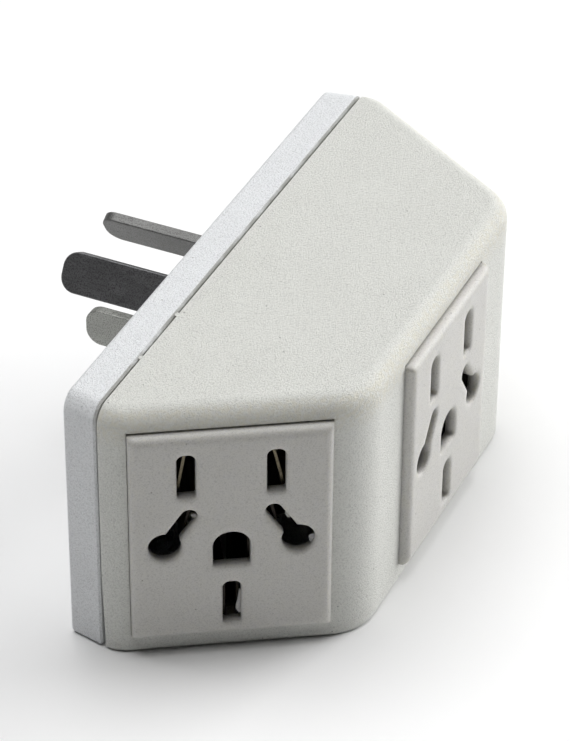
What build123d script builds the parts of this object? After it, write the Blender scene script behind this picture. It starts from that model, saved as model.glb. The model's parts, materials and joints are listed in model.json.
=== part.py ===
from build123d import *
import os
from math import atan2, cos, degrees, hypot, radians, sin, tan

# Plug-in triple socket adapter. The origin is where the plug's axis meets the wall face.
# +X runs along the wall, +Y into the wall, +Z up. Sizes are in millimetres.

# Plug pins
pin_width = 6.35
pin_thickness = 1.6
pin_reach = 20.0  # rear face to tip
pin_spread = 6.85  # plug axis to a slanted pin, across
pin_rise = 3.95  # plug axis to a slanted pin, up
earth_pin_drop = 10.3  # plug axis to the earth pin, down
pin_slant = 30.0  # lean of the two upper pins, degrees
pin_tip_radius = 2.5
pin_edge_radius = 0.2
pin_clearance = 0.1  # each side of a pin in the cover's slot
pin_seat = 5.5  # rear face to the pin's shoulder
tenon_width = 3.2
tenon_thickness = 1.1
tenon_clearance = 0.05
tenon_head_height = 0.7
tenon_head_overhang = 0.5

# Socket holes, measured from the socket's centre
blade_spread = 6.35
blade_rise = 11.45
slot_width = 2.7
blade_slot_length = 7.4
slant_spread = 6.0  # upper end of the slanted slot, across
slot_bridge = 2.25  # upright slot to the slanted slot below it
slant_width = 2.4
round_spread = 9.5
round_drop = 1.0
round_radius = 2.4
ground_width = 5.4
ground_length = 6.0
ground_drop = 2.0
earth_slot_drop = 11.8
earth_slot_length = 7.5
slot_crown = 1.1  # radius at a slot's upper corners
slot_foot = 0.35  # radius at a slot's lower corners
slot_lip = 0.4  # rounded edge of each hole

# Socket plates
plate_side_margin = 2.55  # beyond the round holes
plate_top_margin = 3.25  # above the upper slots
plate_bottom_margin = 2.15  # below the earth slot
plate_proud = 1.45
plate_skin = 1.6
plate_rim = 1.6
plate_edge = 1.1
plate_clearance = 0.08  # each side of a plate and below it
plate_top_gap = 0.35  # above a plate
flange_width = 1.2
flange_thickness = 1.2

# Case
wall = 2.0
front_margin = 13.15  # front face beyond its plate, each side
side_margin = 4.8  # side face beyond its plate, towards the front
shoulder_margin = 2.45  # side face beyond its plate, towards the rear
top_margin = 3.45
bottom_margin = 3.4
side_angle = 32.0  # side faces to the plug's axis, degrees
end_draft = 11.3  # end faces behind the shoulders to the plug's axis, degrees
shoulder_depth = 8.0  # rear face to where the sides meet the ends
plug_above_socket = 9.35  # socket centre to plug axis
cover_depth = 5.6
parting_gap = 0.4
edge_radius = 2.8  # upper edges
foot_radius = 0.9  # lower edges
corner_radius = 8.5  # upright edges at the front
shoulder_radius = 5.7  # upright edges at the shoulders
inner_corner_radius = 2.0
tray_corner_radius = 1.8
cover_back_radius = 0.7
rim_chamfer = 0.35
seam_relief = 0.4  # seam's extra width at the foot of the left end
seam_relief_height = 13.0
collar_wall = 2.0
tongue_thickness = 1.2
tongue_reach = 1.6
tongue_clearance = 0.15
tongue_length = 10.0
tongue_spread = 31.0

# Case screws
screw_spread = 20.0
screw_inset = 4.6  # screw axis to the wall above or below it
screw_radius = 1.25
screw_length = 11.0
screw_head_radius = 3.0
screw_head_height = 2.0
screw_head_sink = 1.0
cross_width = 0.9
cross_depth = 1.1
shank_clearance = 0.35
head_clearance = 0.3
pilot_clearance = 0.05
post_radius = 3.5
post_floor = 2.0
boss_radius = 4.5

# Conductors
strip = 0.8  # bus thickness
leaf = 0.4  # clip thickness
bus_depth = 5.0  # case face to the live and earth buses
bus_width = 6.0
bus_rear = 9.0  # rear face to the ends of the live and earth buses
neutral_gap = 2.0  # clips to the neutral bus
neutral_width = 5.0
neutral_rear = 7.0
finger_width = 3.4
leg_width = 5.0
terminal_margin = 3.4
live_rise = 1.6  # blade slots to the live bus
neutral_drop = 1.0  # round holes to the neutral bus
earth_clearance = 0.45  # earth slot to the earth bus
clip_clearance = 0.5  # plate's skin to a clip
leaf_clearance = 0.05  # round pin to a leaf
clip_back = 13.0  # case face to a clip's rear edge
flange_clearance = 0.3
rib_width = 1.2
rib_spread = 7.0
prop_radius = 2.0
prop_spread = 13.0

# Sizes that follow from the ones above
slope = radians(side_angle)
draft = radians(end_draft)
slant_rise = blade_rise - blade_slot_length / 2 - slot_bridge - slant_width / 2  # its upper end
plate_width = 2 * (round_spread + round_radius + plate_side_margin)
plate_top = blade_rise + blade_slot_length / 2 + plate_top_margin
plate_bottom = -(earth_slot_drop + earth_slot_length / 2 + plate_bottom_margin)
plate_height = plate_top - plate_bottom
plate_middle = (plate_top + plate_bottom) / 2
front_width = plate_width + 2 * front_margin
side_length = side_margin + plate_width + shoulder_margin
shoulder_half = front_width / 2 + side_length * sin(slope)
body_depth = shoulder_depth + side_length * cos(slope)
socket_z = -plug_above_socket
top_z = socket_z + plate_top + top_margin
bottom_z = socket_z + plate_bottom - bottom_margin
body_height = top_z - bottom_z
middle_z = (top_z + bottom_z) / 2
parting_y = cover_depth + parting_gap
flange_back = wall + flange_thickness
screw_z = body_height / 2 - wall - screw_inset
head_seat = screw_head_sink + screw_head_height
post_length = screw_length + post_floor

# Heights of the buses, measured from the socket's centre
live_bus_v = blade_rise + blade_slot_length / 2 + live_rise
neutral_bus_v = -(round_drop + round_radius + neutral_drop)
earth_bus_v = -(earth_slot_drop + earth_slot_length / 2 + earth_clearance)

# Directions along and beside a slanted slot, and how far the clips' leaves stand from their pins
slant_length = hypot(round_spread - slant_spread, round_drop + slant_rise)
along = Vector(round_spread - slant_spread, -round_drop - slant_rise) / slant_length
beside = Vector(-along.Y, along.X)
pin_gap = (pin_thickness + leaf) / 2
round_gap = round_radius + leaf / 2 + leaf_clearance
clip_foot = round_spread + round_gap
clip_front = plate_skin - plate_proud + clip_clearance
neutral_depth = clip_back + neutral_gap

# Planes of the three socket faces: x to the right and y up as seen from outside, z outwards
side_middle = side_margin + plate_width / 2
side_middle_x = front_width / 2 + side_middle * sin(slope)
side_middle_y = body_depth - side_middle * cos(slope)
face_planes = {
    "left": Plane(
        origin=(-side_middle_x, -side_middle_y, socket_z),
        x_dir=(sin(slope), -cos(slope), 0),
        z_dir=(-cos(slope), -sin(slope), 0),
    ),
    "front": Plane(origin=(0, -body_depth, socket_z), x_dir=(1, 0, 0), z_dir=(0, -1, 0)),
    "right": Plane(
        origin=(side_middle_x, -side_middle_y, socket_z),
        x_dir=(sin(slope), cos(slope), 0),
        z_dir=(cos(slope), -sin(slope), 0),
    ),
}

# Pins: place across and up, and lean
pins = {
    "live": (-pin_spread, pin_rise, -pin_slant),
    "neutral": (pin_spread, pin_rise, pin_slant),
    "earth": (0, -earth_pin_drop, 0),
}


def half_width(y, depth):
    """Half the width of the case at y, on a surface that lies depth inside its side and end faces."""
    at_side = shoulder_half + (y + shoulder_depth) * tan(slope) - depth / cos(slope)
    at_end = shoulder_half - (y + shoulder_depth) * tan(draft) - depth / cos(draft)
    return min(at_side, at_end)


def plan_outline(depth, rear_y):
    """Points of the case's plan from left rear to right rear, depth inside its faces."""
    shift = depth * (1 / cos(slope) - 1 / cos(draft)) / (tan(slope) + tan(draft))
    stations = [y for y in (rear_y, shift - shoulder_depth, depth - body_depth) if y <= rear_y]
    left = [(-half_width(y, depth), y) for y in stations]
    return left + [(-x, y) for x, y in reversed(left)]


def case_body():
    """The whole case as one block, with its rounded edges."""
    with BuildPart() as body:
        with BuildSketch(Plane.XY.offset(bottom_z)) as plan:
            with BuildLine():
                Polyline(*plan_outline(0, 0), close=True)
            make_face()
            fillet(plan.vertices().group_by(Axis.Y)[0], corner_radius)
            fillet(plan.vertices().group_by(Axis.X)[0], shoulder_radius)
            fillet(plan.vertices().group_by(Axis.X)[-1], shoulder_radius)
        extrude(amount=body_height)
        upper = body.faces().sort_by(Axis.Z)[-1].edges()
        fillet([edge for edge in upper if edge.center().Y < -wall / 2], edge_radius)
        lower = body.faces().sort_by(Axis.Z)[0].edges()
        fillet([edge for edge in lower if edge.center().Y < -wall / 2], foot_radius)
    return body


def save(piece, name):
    """Label a finished piece and write it to its own file."""
    piece.part.label = name
    export_step(piece.part, f"parts/{name}.step")


def save_on_faces(piece, name):
    """Place a copy of a finished piece on each socket face and write each to its own file."""
    for place, face in face_planes.items():
        with BuildPart() as placed:
            with Locations(face):
                add(piece.part)
        save(placed, f"{name}_{place}")


def upright_slot(length):
    """A slot with a round crown and an almost square foot, in the current sketch."""
    with BuildSketch(mode=Mode.PRIVATE) as slot:
        Rectangle(slot_width, length)
        fillet(slot.vertices().group_by(Axis.Y)[-1], slot_crown)
        fillet(slot.vertices().group_by(Axis.Y)[0], slot_foot)
    add(slot.sketch)


def ground_hole():
    """A D-shaped hole with its flat side down, in the current sketch."""
    with BuildSketch(mode=Mode.PRIVATE) as hole:
        Rectangle(ground_width, ground_length)
        fillet(hole.vertices().group_by(Axis.Y)[-1], ground_width * 0.48)
        fillet(hole.vertices().group_by(Axis.Y)[0], slot_foot)
    add(hole.sketch)


def socket_holes():
    """All the holes of one socket, in the current sketch."""
    with Locations((-blade_spread, blade_rise), (blade_spread, blade_rise)):
        upright_slot(blade_slot_length)
    with Locations((0, -earth_slot_drop)):
        upright_slot(earth_slot_length)
    with Locations((0, -ground_drop)):
        ground_hole()
    across = round_spread - slant_spread
    down = round_drop + slant_rise
    for side in (-1, 1):
        with Locations((side * (round_spread + slant_spread) / 2, (slant_rise - round_drop) / 2)):
            lean = degrees(atan2(-down, side * across))
            SlotCenterToCenter(hypot(across, down), slant_width, rotation=lean)
        with Locations((side * round_spread, -round_drop)):
            Circle(round_radius)


os.makedirs("parts", exist_ok=True)

body = case_body()

# Front shell: hollow front part of the case, with an opening for each socket plate
with BuildPart() as front_shell:
    add(body.part)
    split(bisect_by=Plane.XZ.offset(parting_y), keep=Keep.TOP)
    with BuildSketch(Plane.XY.offset(bottom_z + wall)) as hollow:
        with BuildLine():
            Polyline(*plan_outline(wall, 0), close=True)
        make_face()
        fillet(hollow.vertices().group_by(Axis.Y)[0], inner_corner_radius)
    extrude(amount=body_height - 2 * wall, mode=Mode.SUBTRACT)

    for face in face_planes.values():
        with BuildSketch(face.offset(-flange_back)):
            with Locations((0, plate_middle + (plate_top_gap - plate_clearance) / 2)):
                Rectangle(
                    plate_width + 2 * plate_clearance,
                    plate_height + plate_clearance + plate_top_gap,
                )
        extrude(amount=2 * flange_back, mode=Mode.SUBTRACT)

    # The seam opens a little towards the foot of the left end
    with BuildSketch(Plane.YZ.offset(-shoulder_half)):
        with BuildLine():
            Polyline(
                (-parting_y, bottom_z),
                (-parting_y - seam_relief, bottom_z),
                (-parting_y, bottom_z + seam_relief_height),
                close=True,
            )
        make_face()
    extrude(amount=2 * wall, mode=Mode.SUBTRACT)

    # Screw posts, joined to the walls above and below them
    with BuildSketch(Plane.XZ.offset(parting_y)):
        for side in (-1, 1):
            with Locations((0, middle_z + side * screw_z)):
                with GridLocations(2 * screw_spread, 0, 2, 1):
                    Circle(post_radius)
            with Locations((0, middle_z + side * (screw_z + (screw_inset + wall / 2) / 2))):
                with GridLocations(2 * screw_spread, 0, 2, 1):
                    Rectangle(2 * post_radius, screw_inset + wall / 2)
    extrude(amount=post_length)
    with BuildSketch(Plane.XZ.offset(parting_y)):
        with Locations((0, middle_z)):
            with GridLocations(2 * screw_spread, 2 * screw_z, 2, 2):
                Circle(screw_radius + pilot_clearance)
    extrude(amount=screw_length, mode=Mode.SUBTRACT)

    # Ribs that hold the live bus from above and the earth bus from below
    live_rib = (live_bus_v + strip, top_z - wall / 2 - socket_z)
    earth_rib = (bottom_z + wall / 2 - socket_z, earth_bus_v - strip)
    for face in face_planes.values():
        with BuildSketch(face.offset(-bus_depth)):
            for low, high in (live_rib, earth_rib):
                with Locations((0, (low + high) / 2)):
                    with GridLocations(2 * rib_spread, 0, 2, 1):
                        Rectangle(rib_width, high - low)
        extrude(amount=-bus_width)

    # Props under the neutral bus
    with BuildSketch(Plane.XY.offset(bottom_z + wall / 2)):
        with Locations((0, neutral_depth + neutral_width / 2 - body_depth)):
            with GridLocations(2 * prop_spread, 0, 2, 1):
                Circle(prop_radius)
    extrude(amount=socket_z + neutral_bus_v - strip - bottom_z - wall / 2)
save(front_shell, "front_shell")


# Rear cover: shallow tray with a slotted collar for each pin
with BuildPart() as rear_cover:
    add(body.part)
    split(bisect_by=Plane.XZ.offset(cover_depth), keep=Keep.BOTTOM)
    fillet(rear_cover.faces().sort_by(Axis.Y)[-1].edges(), cover_back_radius)
    chamfer(rear_cover.faces().sort_by(Axis.Y)[0].edges(), rim_chamfer)
    with BuildSketch(Plane.XZ.offset(wall)):
        with Locations((0, middle_z)):
            RectangleRounded(2 * half_width(-wall, wall), body_height - 2 * wall, tray_corner_radius)
    extrude(amount=cover_depth, mode=Mode.SUBTRACT)

    with BuildSketch(Plane.XZ.offset(wall / 2)):
        for across, up, lean in pins.values():
            with Locations((across, up)):
                Rectangle(pin_thickness + 2 * collar_wall, pin_width + 2 * collar_wall, rotation=lean)
    extrude(amount=pin_seat - wall / 2)
    with BuildSketch(Plane.XZ):
        for across, up, lean in pins.values():
            with Locations((across, up)):
                Rectangle(
                    pin_thickness + 2 * pin_clearance,
                    pin_width + 2 * pin_clearance,
                    rotation=lean,
                )
    extrude(amount=pin_seat, mode=Mode.SUBTRACT)

    # Screw bosses that meet the shell's posts, sunk for the heads
    with BuildSketch(Plane.XZ.offset(wall / 2)):
        with Locations((0, middle_z)):
            with GridLocations(2 * screw_spread, 2 * screw_z, 2, 2):
                Circle(boss_radius)
    extrude(amount=parting_y - wall / 2)
    with BuildSketch(Plane.XZ):
        with Locations((0, middle_z)):
            with GridLocations(2 * screw_spread, 2 * screw_z, 2, 2):
                Circle(screw_radius + shank_clearance)
    extrude(amount=parting_y, mode=Mode.SUBTRACT)
    with BuildSketch(Plane.XZ):
        with Locations((0, middle_z)):
            with GridLocations(2 * screw_spread, 2 * screw_z, 2, 2):
                Circle(screw_head_radius + head_clearance)
    extrude(amount=head_seat, mode=Mode.SUBTRACT)

    # Tongues that enter the shell and line up the two halves
    tongue_z = body_height / 2 - wall - tongue_clearance - tongue_thickness / 2
    root_z = body_height / 2 - wall - tongue_thickness / 2
    with BuildSketch(Plane.XZ.offset(wall / 2)):
        with Locations((0, middle_z)):
            with GridLocations(tongue_spread, 2 * root_z, 3, 2):
                Rectangle(tongue_length, tongue_thickness + 2 * tongue_clearance)
    extrude(amount=cover_depth - wall / 2)
    with BuildSketch(Plane.XZ.offset(wall / 2)):
        with Locations((0, middle_z)):
            with GridLocations(tongue_spread, 2 * tongue_z, 3, 2):
                Rectangle(tongue_length, tongue_thickness)
    extrude(amount=parting_y + tongue_reach - wall / 2)
save(rear_cover, "rear_cover")


# Socket plates: inserts that stand proud of the case, with a flange behind its wall
with BuildPart() as socket_plate:
    with BuildSketch(Plane.XY.offset(-wall)):
        with Locations((0, plate_middle)):
            Rectangle(plate_width, plate_height)
    extrude(amount=wall + plate_proud)
    fillet(socket_plate.faces().sort_by(Axis.Z)[-1].edges(), plate_edge)
    with BuildSketch(Plane.XY.offset(-flange_back)):
        with Locations((0, plate_middle)):
            Rectangle(plate_width + 2 * flange_width, plate_height + 2 * flange_width)
    extrude(amount=flange_thickness)
    with BuildSketch(Plane.XY.offset(-flange_back)):
        with Locations((0, plate_middle)):
            Rectangle(plate_width - 2 * plate_rim, plate_height - 2 * plate_rim)
    extrude(amount=flange_back + plate_proud - plate_skin, mode=Mode.SUBTRACT)
    with BuildSketch(Plane.XY.offset(plate_proud)):
        socket_holes()
    extrude(amount=-plate_skin, mode=Mode.SUBTRACT)
    lips = [wire.edges() for wire in socket_plate.faces().sort_by(Axis.Z)[-1].inner_wires()]
    fillet([edge for edges in lips for edge in edges], slot_lip)
save_on_faces(socket_plate, "socket_plate")


# Pins: blades with a tenon that is peened over behind the bus
def plug_pin(across, up, lean):
    """One blade of the plug, with its shoulder at the pin seat."""
    turn = radians(lean)
    blade_plane = Plane(
        origin=(across, 0, up),
        x_dir=(-sin(turn), 0, cos(turn)),
        z_dir=(-cos(turn), 0, -sin(turn)),
    )
    with BuildPart() as pin:
        with BuildSketch(blade_plane) as blade:
            with Locations((0, (pin_reach - pin_seat) / 2)):
                Rectangle(pin_width, pin_reach + pin_seat)
            fillet(blade.vertices().group_by(Axis.Y)[-1], pin_tip_radius)
        extrude(amount=pin_thickness / 2, both=True)
        broad_faces = pin.faces().sort_by(SortBy.AREA)[-2:]
        fillet(broad_faces.edges(), pin_edge_radius)
        with BuildSketch(Plane.XZ.offset(pin_seat)):
            with Locations((across, up)):
                Rectangle(tenon_thickness, tenon_width, rotation=lean)
        extrude(amount=strip)
        with BuildSketch(Plane.XZ.offset(pin_seat + strip)):
            with Locations((across, up)):
                Rectangle(
                    tenon_thickness + 2 * tenon_head_overhang,
                    tenon_width + 2 * tenon_head_overhang,
                    rotation=lean,
                )
        extrude(amount=tenon_head_height)
    return pin


for pole, (across, up, lean) in pins.items():
    save(plug_pin(across, up, lean), f"{pole}_pin")


# Buses: flat strips that follow the three faces, with a leg folded to a pin
def bus_bar(pole, under_v, depth, width, rear):
    """One bus whose lower side is at under_v, with its terminal on the pin of its pole."""
    across, up, lean = pins[pole]
    under_z = socket_z + under_v
    terminal_low = min(under_z, up - terminal_margin)
    terminal_high = max(under_z + strip, up + terminal_margin)
    leg_front = depth + width / 2 - body_depth
    with BuildPart() as bus:
        with BuildSketch(Plane.XY.offset(under_z)):
            with BuildLine():
                inner = plan_outline(depth + width, -rear)
                Polyline(*plan_outline(depth, -rear), *reversed(inner), close=True)
            make_face()
            with Locations((across, (leg_front - pin_seat) / 2)):
                Rectangle(leg_width, -pin_seat - leg_front)
        extrude(amount=strip)
        with BuildSketch(Plane.XZ.offset(pin_seat)):
            with Locations((across, (terminal_low + terminal_high) / 2)):
                Rectangle(leg_width, terminal_high - terminal_low)
        extrude(amount=strip)
        with BuildSketch(Plane.XZ.offset(pin_seat)):
            with Locations((across, up)):
                Rectangle(
                    tenon_thickness + 2 * tenon_clearance,
                    tenon_width + 2 * tenon_clearance,
                    rotation=lean,
                )
        extrude(amount=strip, mode=Mode.SUBTRACT)
    return bus


save(bus_bar("live", live_bus_v, bus_depth, bus_width, bus_rear), "live_bus")
save(bus_bar("earth", earth_bus_v - strip, bus_depth, bus_width, bus_rear), "earth_bus")

# The neutral bus has a finger under the neutral clip on each face
neutral_band = bus_bar("neutral", neutral_bus_v - strip, neutral_depth, neutral_width, neutral_rear)
finger_far = clip_foot + leaf
finger_near = finger_far - 2 * finger_width
finger_root = neutral_depth + neutral_width / 2
with BuildPart() as neutral_bus:
    add(neutral_band.part)
    for face in face_planes.values():
        with BuildSketch(face.offset(-finger_root)):
            with Locations((finger_near + finger_width / 2, neutral_bus_v - strip / 2)):
                Rectangle(finger_width, strip)
        extrude(amount=finger_root - clip_back + finger_width)
        with BuildSketch(face.offset(-clip_back)):
            with Locations(((finger_near + finger_far) / 2, neutral_bus_v - strip / 2)):
                Rectangle(finger_far - finger_near, strip)
        extrude(amount=finger_width)
save(neutral_bus, "neutral_bus")


# Clips: folded strips whose leaves lie on each side of the pins
def folded_clip(points, fold_radius):
    """A strip folded along points and cut back where the plate's rim and flange are."""
    with BuildPart() as clip:
        with BuildSketch(Plane.XY.offset(-clip_back)):
            with BuildLine():
                FilletPolyline(*points, radius=fold_radius)
            trace(line_width=leaf)
        extrude(amount=clip_back - clip_front)
        with BuildSketch(Plane.XY.offset(-flange_back - flange_clearance)):
            with Locations((0, plate_middle)):
                Rectangle(2 * plate_width, 2 * plate_height)
                Rectangle(
                    plate_width - 2 * plate_rim - 2 * flange_clearance,
                    plate_height - 2 * plate_rim - 2 * flange_clearance,
                    mode=Mode.SUBTRACT,
                )
        extrude(amount=flange_back, mode=Mode.SUBTRACT)
    return clip


def pole_clip(side, top):
    """A live or neutral clip: one leaf each side of the upright and the slanted slot."""
    slant = Vector(slant_spread, slant_rise) + along * slant_length / 3
    blade_foot = blade_rise - blade_slot_length / 3
    inner_leaf = blade_spread - slot_width / 2 - leaf
    crown = top - leaf / 2
    points = [
        Vector(clip_foot, neutral_bus_v),
        Vector(clip_foot, round_gap / 2 - round_drop),
        slant + beside * pin_gap,
        Vector(blade_spread + slot_width / 3, blade_foot),
        Vector(blade_spread - leaf, crown),
        Vector(inner_leaf, crown),
        Vector(inner_leaf, blade_foot),
        slant - beside * pin_gap,
        Vector(round_spread - round_gap, -round_drop),
        Vector(round_spread - round_gap, -round_drop - round_radius),
    ]
    return folded_clip([(side * point.X, point.Y) for point in points], fold_radius=leaf * 0.75)


def earth_clip():
    """An earth clip: an upturned loop round the ground hole, with a leaf each side of the slot."""
    loop_foot = -ground_drop - ground_length / 2
    loop_crown = -ground_drop + ground_length / 2 + leaf
    waist = loop_foot - round_gap + pin_gap
    points = [(pin_gap, earth_bus_v), (pin_gap, waist), (round_gap, loop_foot), (round_gap, loop_crown)]
    mirrored = [(-across, up) for across, up in reversed(points)]
    return folded_clip(points + mirrored, fold_radius=leaf * 1.5)


neutral_top = blade_rise + blade_slot_length / 2 - leaf / 2
save_on_faces(pole_clip(-1, live_bus_v), "live_clip")
save_on_faces(pole_clip(1, neutral_top), "neutral_clip")
save_on_faces(earth_clip(), "earth_clip")


# Case screws: pan heads with a cross recess, sunk in the rear cover
with BuildPart() as case_screws:
    with BuildSketch(Plane.XZ.offset(screw_head_sink)):
        with Locations((0, middle_z)):
            with GridLocations(2 * screw_spread, 2 * screw_z, 2, 2):
                Circle(screw_head_radius)
    extrude(amount=screw_head_height)
    fillet(case_screws.faces().group_by(Axis.Y)[-1].edges(), screw_head_height / 3)
    with BuildSketch(Plane.XZ.offset(head_seat)):
        with Locations((0, middle_z)):
            with GridLocations(2 * screw_spread, 2 * screw_z, 2, 2):
                Circle(screw_radius)
    extrude(amount=screw_length)
    chamfer(case_screws.faces().group_by(Axis.Y)[0].edges(), screw_radius / 2)
    with BuildSketch(Plane.XZ.offset(screw_head_sink)):
        with Locations((0, middle_z)):
            with GridLocations(2 * screw_spread, 2 * screw_z, 2, 2):
                Rectangle(screw_head_radius, cross_width)
                Rectangle(cross_width, screw_head_radius)
    extrude(amount=cross_depth, mode=Mode.SUBTRACT)
save(case_screws, "case_screws")
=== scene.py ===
import json
import math

import bmesh
import bpy
from mathutils import Matrix, Vector


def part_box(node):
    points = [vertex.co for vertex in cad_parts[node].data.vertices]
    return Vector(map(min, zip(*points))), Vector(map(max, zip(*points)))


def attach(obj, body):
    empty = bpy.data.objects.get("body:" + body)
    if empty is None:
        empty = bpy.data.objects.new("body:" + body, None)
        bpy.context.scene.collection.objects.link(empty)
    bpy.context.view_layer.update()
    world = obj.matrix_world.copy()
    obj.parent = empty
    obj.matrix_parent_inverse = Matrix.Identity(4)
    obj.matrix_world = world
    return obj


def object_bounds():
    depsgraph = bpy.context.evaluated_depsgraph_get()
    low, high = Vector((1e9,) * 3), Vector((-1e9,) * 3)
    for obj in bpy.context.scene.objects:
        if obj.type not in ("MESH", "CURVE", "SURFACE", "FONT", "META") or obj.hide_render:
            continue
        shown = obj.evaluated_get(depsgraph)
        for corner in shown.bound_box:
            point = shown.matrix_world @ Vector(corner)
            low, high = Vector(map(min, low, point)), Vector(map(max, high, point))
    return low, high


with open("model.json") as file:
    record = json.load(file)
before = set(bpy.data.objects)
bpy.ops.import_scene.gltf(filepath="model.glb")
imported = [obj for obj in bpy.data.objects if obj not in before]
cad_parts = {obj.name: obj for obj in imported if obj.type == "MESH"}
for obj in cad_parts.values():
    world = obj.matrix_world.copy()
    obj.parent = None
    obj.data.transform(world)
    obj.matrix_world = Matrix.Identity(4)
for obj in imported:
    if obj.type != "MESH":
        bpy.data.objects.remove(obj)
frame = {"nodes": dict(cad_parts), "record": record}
cad_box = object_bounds()
low, high = cad_box
nodes = frame["nodes"]


# Materials
class Look:
    """A new material, with short calls for the nodes it needs. Lengths are in metres."""

    def __init__(self, name):
        self.material = bpy.data.materials.new(name)
        self.material.use_nodes = True
        self.tree = self.material.node_tree
        self.shader = self.tree.nodes["Principled BSDF"]
        self.place = self.tree.nodes.new("ShaderNodeTexCoord").outputs["Object"]

    def link(self, out, socket):
        self.tree.links.new(out, socket)

    def stretched(self, x, y, z):
        """The object's coordinates, scaled along each axis."""
        node = self.tree.nodes.new("ShaderNodeMapping")
        node.inputs["Scale"].default_value = (x, y, z)
        self.link(self.place, node.inputs["Vector"])
        return node.outputs["Vector"]

    def turned(self, *angles):
        """The object's coordinates, turned so that noise makes no rows along the faces."""
        node = self.tree.nodes.new("ShaderNodeMapping")
        node.inputs["Rotation"].default_value = angles
        self.link(self.place, node.inputs["Vector"])
        return node.outputs["Vector"]

    def noise(self, size, detail=2.0, rough=0.5, place=None, warp=0.0):
        """Noise whose features are about size across; warp breaks up its rows."""
        node = self.tree.nodes.new("ShaderNodeTexNoise")
        node.inputs["Scale"].default_value = 1 / size
        node.inputs["Detail"].default_value = detail
        node.inputs["Roughness"].default_value = rough
        node.inputs["Distortion"].default_value = warp
        self.link(place or self.place, node.inputs["Vector"])
        return node.outputs["Fac"]

    def dots(self, spacing, radius):
        """Small dots about spacing apart, which fade towards their rims."""
        node = self.tree.nodes.new("ShaderNodeTexVoronoi")
        node.inputs["Scale"].default_value = 1 / spacing
        self.link(self.place, node.inputs["Vector"])
        reach = radius / spacing
        return self.ramp(node.outputs["Distance"], (0.6 * reach, 1.0), (reach, 0.0))

    def along(self, axis, start, end):
        """0 where the coordinate on an axis is at start or before it, 1 where it is at end or past it."""
        split = self.tree.nodes.new("ShaderNodeSeparateXYZ")
        self.link(self.place, split.inputs["Vector"])
        node = self.tree.nodes.new("ShaderNodeMapRange")
        node.inputs["From Min"].default_value = start
        node.inputs["From Max"].default_value = end
        self.link(split.outputs[axis], node.inputs["Value"])
        return node.outputs["Result"]

    def times(self, a, b):
        """The product of two values."""
        node = self.tree.nodes.new("ShaderNodeMath")
        node.operation = "MULTIPLY"
        self.link(a, node.inputs[0])
        self.link(b, node.inputs[1])
        return node.outputs["Value"]

    def softened(self, radius):
        """A normal that rounds the edges off."""
        node = self.tree.nodes.new("ShaderNodeBevel")
        node.samples = 8
        node.inputs["Radius"].default_value = radius
        return node.outputs["Normal"]

    def ramp(self, value, *stops):
        """Colours or grey values along a value from 0 to 1."""
        node = self.tree.nodes.new("ShaderNodeValToRGB")
        elements = node.color_ramp.elements
        while len(elements) < len(stops):
            elements.new(0.5)
        for element, (at, colour) in zip(elements, stops):
            element.position = at
            element.color = (*colour, 1) if isinstance(colour, tuple) else (colour, colour, colour, 1)
        self.link(value, node.inputs["Fac"])
        return node.outputs["Color"]

    def span(self, value, start, end):
        """A value from 0 to 1 spread from start to end."""
        node = self.tree.nodes.new("ShaderNodeMapRange")
        node.inputs["To Min"].default_value = start
        node.inputs["To Max"].default_value = end
        self.link(value, node.inputs["Value"])
        return node.outputs["Result"]

    def mix(self, factor, a, b):
        """Colour a where the factor is 0, colour b where it is 1."""
        node = self.tree.nodes.new("ShaderNodeMix")
        node.data_type = "RGBA"
        self.link(factor, node.inputs["Factor"])
        for socket, colour in ((node.inputs["A"], a), (node.inputs["B"], b)):
            if isinstance(colour, tuple):
                socket.default_value = (*colour, 1)
            else:
                self.link(colour, socket)
        return node.outputs["Result"]

    def bump(self, height, depth, under=None):
        """A normal from a height that spans depth."""
        node = self.tree.nodes.new("ShaderNodeBump")
        node.inputs["Strength"].default_value = 1.0
        node.inputs["Distance"].default_value = depth
        self.link(height, node.inputs["Height"])
        if under:
            self.link(under, node.inputs["Normal"])
        return node.outputs["Normal"]


def darker(colour, share):
    """A share of a colour's brightness."""
    return tuple(share * channel for channel in colour)


# Plastic
cloud_size = 0.012
wave_size = 0.006
wave_depth = 0.00004
speck_spacing = 0.0036
speck_radius = 0.00016
grain_angles = (0.6, 0.4, 0.5)
grain_warp = 0.7
# the grain's hollows are painted darker: painted shade where the grain dips
hollow_shade_share = 0.7  # brightness of the grain's hollows
plastic_ior = 1.5
glow_reach = 0.0012  # how far light passes under the surface
glow_shares = (1.0, 0.95, 0.65)  # of that reach, for red, green and blue


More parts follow.
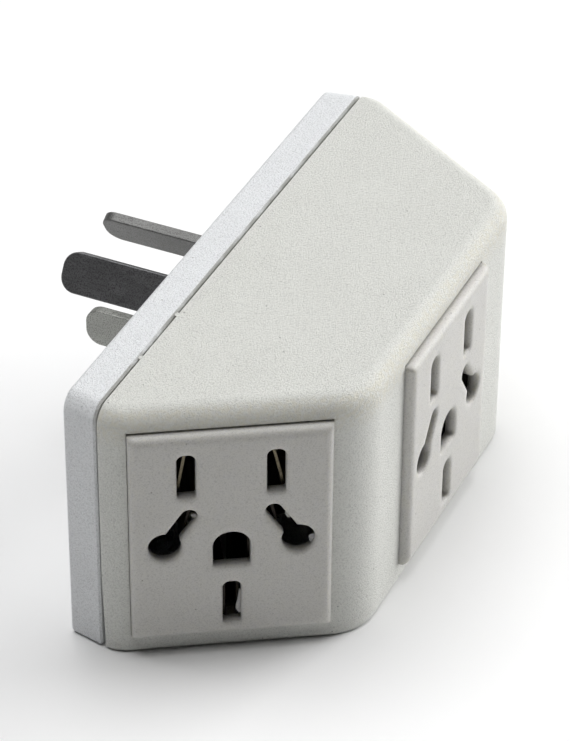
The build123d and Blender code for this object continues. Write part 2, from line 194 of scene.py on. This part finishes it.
def plastic(
    name, colour, shade, grain_size, grain_depth, rough, speck, dirt_and_shade=None, soft_edge=None, glow=0.0
):
    """Moulded plastic: faint mottling, a fine grain and a few dark specks.

    The dirt-and-shade function tints the colour where dirt has gathered, and paints shade along the cover's
    seam;
    soft_edge rounds the edges off and glow is the share of light that passes under the surface.
    """
    look = Look(name)
    cloud = look.noise(cloud_size, detail=4.0)
    base = look.mix(look.ramp(cloud, (0.35, 0.0), (0.7, 1.0)), shade, colour)
    fine = look.noise(grain_size, detail=3.0, rough=0.6, place=look.turned(*grain_angles), warp=grain_warp)
    # painted shade: darker where the grain dips
    base = look.mix(look.ramp(fine, (0.25, 1.0), (0.52, 0.0)), base, darker(shade, hollow_shade_share))
    base = look.mix(look.dots(speck_spacing, speck_radius), base, speck)
    # dirt, and along the cover's seam painted shade
    if dirt_and_shade:
        base = dirt_and_shade(look, base)
    look.link(base, look.shader.inputs["Base Color"])
    look.link(look.span(fine, rough - 0.08, rough + 0.08), look.shader.inputs["Roughness"])
    edges = look.softened(soft_edge) if soft_edge else None
    wave = look.bump(look.noise(wave_size, detail=1.0), wave_depth, edges)
    look.link(look.bump(fine, grain_depth, wave), look.shader.inputs["Normal"])
    look.shader.inputs["IOR"].default_value = plastic_ior
    look.shader.inputs["Subsurface Weight"].default_value = glow
    look.shader.inputs["Subsurface Radius"].default_value = glow_shares
    look.shader.inputs["Subsurface Scale"].default_value = glow_reach
    return look.material


parting_gap = 0.0004  # seam between the shell and the cover
cover_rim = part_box("front_shell")[1].y + parting_gap
shell_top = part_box("front_shell")[1].z


def seam_shade_and_dirt(look, base):
    """Painted shade of the seam, with some dirt: grey on the cover's rim, beside the seam on top."""
    mark_tone = (0.42, 0.42, 0.4)
    bare = (0.82, 0.835, 0.85)
    patch_size = 0.004
    marked_to = cover_rim + 0.0003
    unmarked_from = cover_rim + 0.00038
    unmarked_below = shell_top - 0.003
    marked_above = shell_top - 0.0012
    # painted shade: the grey tone stands in for the seam's shade, with some dirt, in patches
    tone = look.mix(look.ramp(look.noise(patch_size), (0.45, 0.0), (0.8, 1.0)), mark_tone, bare)
    rim = look.along("Y", unmarked_from, marked_to)
    upper = look.along("Z", unmarked_below, marked_above)
    return look.mix(look.times(rim, upper), base, tone)


def edge_grime(look, base):
    """Warm dirt in patches on the rounded edge round the shell's top."""
    mark_tone = (0.71, 0.695, 0.61)
    patch_size = 0.0006
    unmarked_below = shell_top - 0.006
    dirty_from = shell_top - 0.003
    marked_to = shell_top - 0.0006
    clean_above = shell_top - 0.0001
    from_side = look.along("Z", unmarked_below, dirty_from)
    from_top = look.along("Z", clean_above, marked_to)
    patches = look.ramp(look.noise(patch_size, detail=3.0), (0.38, 0.1), (0.62, 1.0))
    return look.mix(look.times(look.times(from_side, from_top), patches), base, mark_tone)


# Metal
streak_size = 0.0012
streak_depth = 0.00002
streak_share = 0.85  # brightness of the streaks
dull_size = 0.004
pit_size = 0.0002
pit_depth = 0.00004
pit_share = 0.55  # brightness of the pits


def metal(name, colour, dull, rough, lines, painted_shade=None):
    """Drawn or stamped metal: fine lines along one axis, dull patches and small pits.

    lines scales the coordinates, with its smallest number along the lines. The last argument gives a
    function that
    paints shade: it darkens the colour where the metal lies in shade.
    """
    look = Look(name)
    streaks = look.noise(streak_size, detail=4.0, rough=0.65, place=look.stretched(*lines))
    patches = look.noise(dull_size, detail=3.0)
    pits = look.noise(pit_size, detail=3.0)
    base = look.mix(look.ramp(patches, (0.35, 0.0), (0.7, 1.0)), dull, colour)
    base = look.mix(look.ramp(streaks, (0.35, 1.0), (0.55, 0.0)), base, darker(dull, streak_share))
    base = look.mix(look.ramp(pits, (0.35, 1.0), (0.53, 0.0)), base, darker(dull, pit_share))
    if painted_shade:
        base = painted_shade(look, base)
    look.link(base, look.shader.inputs["Base Color"])
    look.link(look.span(streaks, rough - 0.1, rough + 0.12), look.shader.inputs["Roughness"])
    look.link(look.bump(pits, pit_depth, look.bump(streaks, streak_depth)), look.shader.inputs["Normal"])
    look.shader.inputs["Metallic"].default_value = 1.0
    return look.material


# near-black brass: painted shade of the socket's insides
brass_in_painted_shade = (0.04, 0.035, 0.03)


def low_painted_shade(look, base):
    """Painted shade: brass darkened below the upright slots."""
    bright_above = -0.0022
    dark_below = -0.0032
    return look.mix(look.along("Z", bright_above, dark_below), base, brass_in_painted_shade)


along_pin = (6.0, 0.3, 6.0)
along_leaf = (3.0, 3.0, 0.5)
along_screw = (2.0, 1.0, 2.0)
looks = {
    "shell": plastic(
        "shell",
        colour=(0.767, 0.772, 0.731),
        shade=(0.747, 0.752, 0.711),
        grain_size=0.00025,
        grain_depth=0.00026,
        rough=0.5,
        speck=(0.3, 0.3, 0.28),
        dirt_and_shade=edge_grime,
    ),
    "cover": plastic(
        "cover",
        colour=(0.87, 0.885, 0.9),
        shade=(0.85, 0.865, 0.88),
        grain_size=0.00025,
        grain_depth=0.00026,
        rough=0.5,
        speck=(0.42, 0.42, 0.4),
        dirt_and_shade=seam_shade_and_dirt,
    ),
    "plate": plastic(
        "plate",
        colour=(0.592, 0.582, 0.554),
        shade=(0.577, 0.567, 0.539),
        grain_size=0.00023,
        grain_depth=0.00006,
        rough=0.4,
        speck=(0.3, 0.3, 0.27),
        soft_edge=0.0016,
        glow=0.35,
    ),
    "pin": metal("pin", (0.28, 0.28, 0.275), (0.23, 0.23, 0.225), 0.56, along_pin),
    # painted shade and painted light: darker and paler copies of the pin metal
    "pin_in_painted_shade": metal("pin_in_painted_shade", (0.25, 0.25, 0.255), (0.2, 0.2, 0.205), 0.52, along_pin),
    "pin_in_painted_light": metal("pin_in_painted_light", (0.47, 0.475, 0.45), (0.41, 0.415, 0.39), 0.56, along_pin),
    "contact": metal("contact", (0.27, 0.24, 0.17), (0.15, 0.13, 0.09), 0.45, along_leaf, low_painted_shade),
    # painted shade: the earth clips are dark all over
    "shaded_contact": metal("shaded_contact", (0.07, 0.06, 0.045), brass_in_painted_shade, 0.5, along_leaf),
    "screw": metal("screw", (0.55, 0.55, 0.54), (0.42, 0.42, 0.41), 0.34, along_screw),
}
# Painted light and shade: the live pin darker, the earth pin paler, the earth clips in dark brass
own_looks = {
    "live_pin": "pin_in_painted_shade",
    "earth_pin": "pin_in_painted_light",
    "earth_clip_left": "shaded_contact",
    "earth_clip_front": "shaded_contact",
    "earth_clip_right": "shaded_contact",
}
for part in frame["record"]["subparts"]:
    node = nodes[part["node"]]
    node.data.materials.clear()
    node.data.materials.append(looks[own_looks.get(part["node"], part["material_slot"])])


# Moulding flash: ragged bits of plastic in the left socket's holes and across the seam
def flash(name, slot, origin, across, up, thickness, outlines):
    """Thin plates on a plane through origin; outlines are in millimetres along across and up."""
    mesh = bmesh.new()
    back = across.cross(up).normalized() * -thickness
    for outline in outlines:
        points = [origin + (across * x + up * y) / 1000 for x, y in outline]
        upper = [mesh.verts.new(point) for point in points]
        lower = [mesh.verts.new(point + back) for point in points]
        mesh.faces.new(upper)
        mesh.faces.new(lower)
        for i in range(len(points)):
            mesh.faces.new((upper[i - 1], upper[i], lower[i], lower[i - 1]))
    bmesh.ops.recalc_face_normals(mesh, faces=mesh.faces)
    data = bpy.data.meshes.new(name)
    mesh.to_mesh(data)
    mesh.free()
    data.materials.append(looks[slot])
    piece = bpy.data.objects.new(name, data)
    bpy.context.scene.collection.objects.link(piece)
    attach(piece, "root")


mounts = {mount["name"]: mount for mount in frame["record"]["mounts"]}
socket_centre = Vector(mounts["socket_left"]["pos_m"])
outward = Vector(mounts["socket_left"]["axis"])
upward = Vector((0, 0, 1))
socket_flash_depth = 0.0008
socket_flash_thickness = 0.00025
in_earth_slot = [
    (1.5, -10.0), (1.1, -10.2), (0.85, -12.2), (0.6, -13.1), (0.6, -13.7), (1.05, -14.5), (1.5, -14.4)
]
in_round_hole = [(11.95, -0.9), (11.35, -1.0), (11.05, -1.3), (11.15, -2.0), (11.45, -2.6), (12.1, -2.0)]
beside_right_slot = [(8.0, 3.6), (7.65, 3.3), (7.75, 2.85), (8.1, 2.3), (8.6, 2.7)]
beside_left_slot = [(-5.75, 4.1), (-5.3, 4.25), (-4.75, 4.1), (-4.85, 3.5), (-5.4, 3.65)]
flash(
    "socket_flash",
    "plate",
    socket_centre - outward * socket_flash_depth,
    upward.cross(outward),
    upward,
    socket_flash_thickness,
    [in_earth_slot, in_round_hole, beside_right_slot, beside_left_slot],
)
seam_flash_depth = 0.00005
seam_flash_thickness = 0.0004
seam_middle = Vector((0, cover_rim - parting_gap / 2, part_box("rear_cover")[1].z - seam_flash_depth))
near_end = [(-32.75, -0.25), (-32.6, 0.25), (-32.1, 0.3), (-31.8, -0.05), (-32.0, -0.3)]
near_pins = [(-21.25, -0.3), (-21.2, 0.2), (-20.75, 0.3), (-20.3, 0.1), (-20.5, -0.3)]
flash(
    "seam_flash",
    "shell",
    seam_middle,
    Vector((1, 0, 0)),
    Vector((0, 1, 0)),
    seam_flash_thickness,
    [near_end, near_pins],
)


# Floor
floor_half = 4.0
floor_signs = ((-1, -1), (1, -1), (1, 1), (-1, 1))
floor_corners = [(x * floor_half, y * floor_half, low.z) for x, y in floor_signs]
floor_mesh = bpy.data.meshes.new("floor")
floor_mesh.from_pydata(floor_corners, [], [(0, 1, 2, 3)])
floor = bpy.data.objects.new("floor", floor_mesh)
bpy.context.scene.collection.objects.link(floor)
mottle_size = 0.3
paper = Look("paper")
tone = paper.ramp(paper.noise(mottle_size), (0.3, (0.89, 0.89, 0.89)), (0.7, (0.91, 0.91, 0.91)))
paper.link(tone, paper.shader.inputs["Base Color"])
paper.shader.inputs["Roughness"].default_value = 0.9
paper.shader.inputs["Specular IOR Level"].default_value = 0.1
floor_mesh.materials.append(paper.material)


# Light
def lamp(name, direction, distance, size, watts):
    """A square soft box that faces the object from a direction."""
    data = bpy.data.lights.new(name, "AREA")
    data.size = size
    data.energy = watts
    lamp_object = bpy.data.objects.new(name, data)
    towards = Vector(direction).normalized()
    lamp_object.location = (low + high) / 2 + towards * distance
    lamp_object.rotation_mode = "QUATERNION"
    lamp_object.rotation_quaternion = towards.to_track_quat("Z", "Y")
    bpy.context.scene.collection.objects.link(lamp_object)


lamp("key", (0.85, -0.65, 0.4), distance=2.6, size=1.8, watts=70.0)
lamp("top", (0.09, 0.21, 1.0), distance=2.6, size=2.4, watts=70.0)
world = bpy.data.worlds.new("studio")
world.use_nodes = True
background = world.node_tree.nodes["Background"]
background.inputs["Color"].default_value = (1.0, 1.0, 1.0, 1.0)
background.inputs["Strength"].default_value = 0.015
bpy.context.scene.world = world
bpy.context.scene.view_settings.view_transform = "Standard"


# Camera: where the photo was taken from
azimuth = math.radians(-65.568)
elevation = math.radians(36.474)
roll = math.radians(0.467)
distance = 0.485676
target = Vector((-0.014579, -0.020, 0.002764))
focal_pixels = 3359.4
image_height = 741  # pixels
back = Vector(
    (
        math.sin(azimuth) * math.cos(elevation),
        -math.cos(azimuth) * math.cos(elevation),
        math.sin(elevation),
    )
)
level = (-back).cross(upward).normalized()
upright = level.cross(-back)
right = level * math.cos(roll) + upright * math.sin(roll)
up = upright * math.cos(roll) - level * math.sin(roll)
camera_data = bpy.data.cameras.new("camera")
camera_data.sensor_width = 36.0
camera_data.lens = focal_pixels / image_height * camera_data.sensor_width
camera_data.clip_start = 0.01
camera = bpy.data.objects.new("camera", camera_data)
facing = Matrix((right, up, back)).transposed().to_4x4()
camera.matrix_world = Matrix.Translation(target + back * distance) @ facing
bpy.context.scene.collection.objects.link(camera)
bpy.context.scene.camera = camera
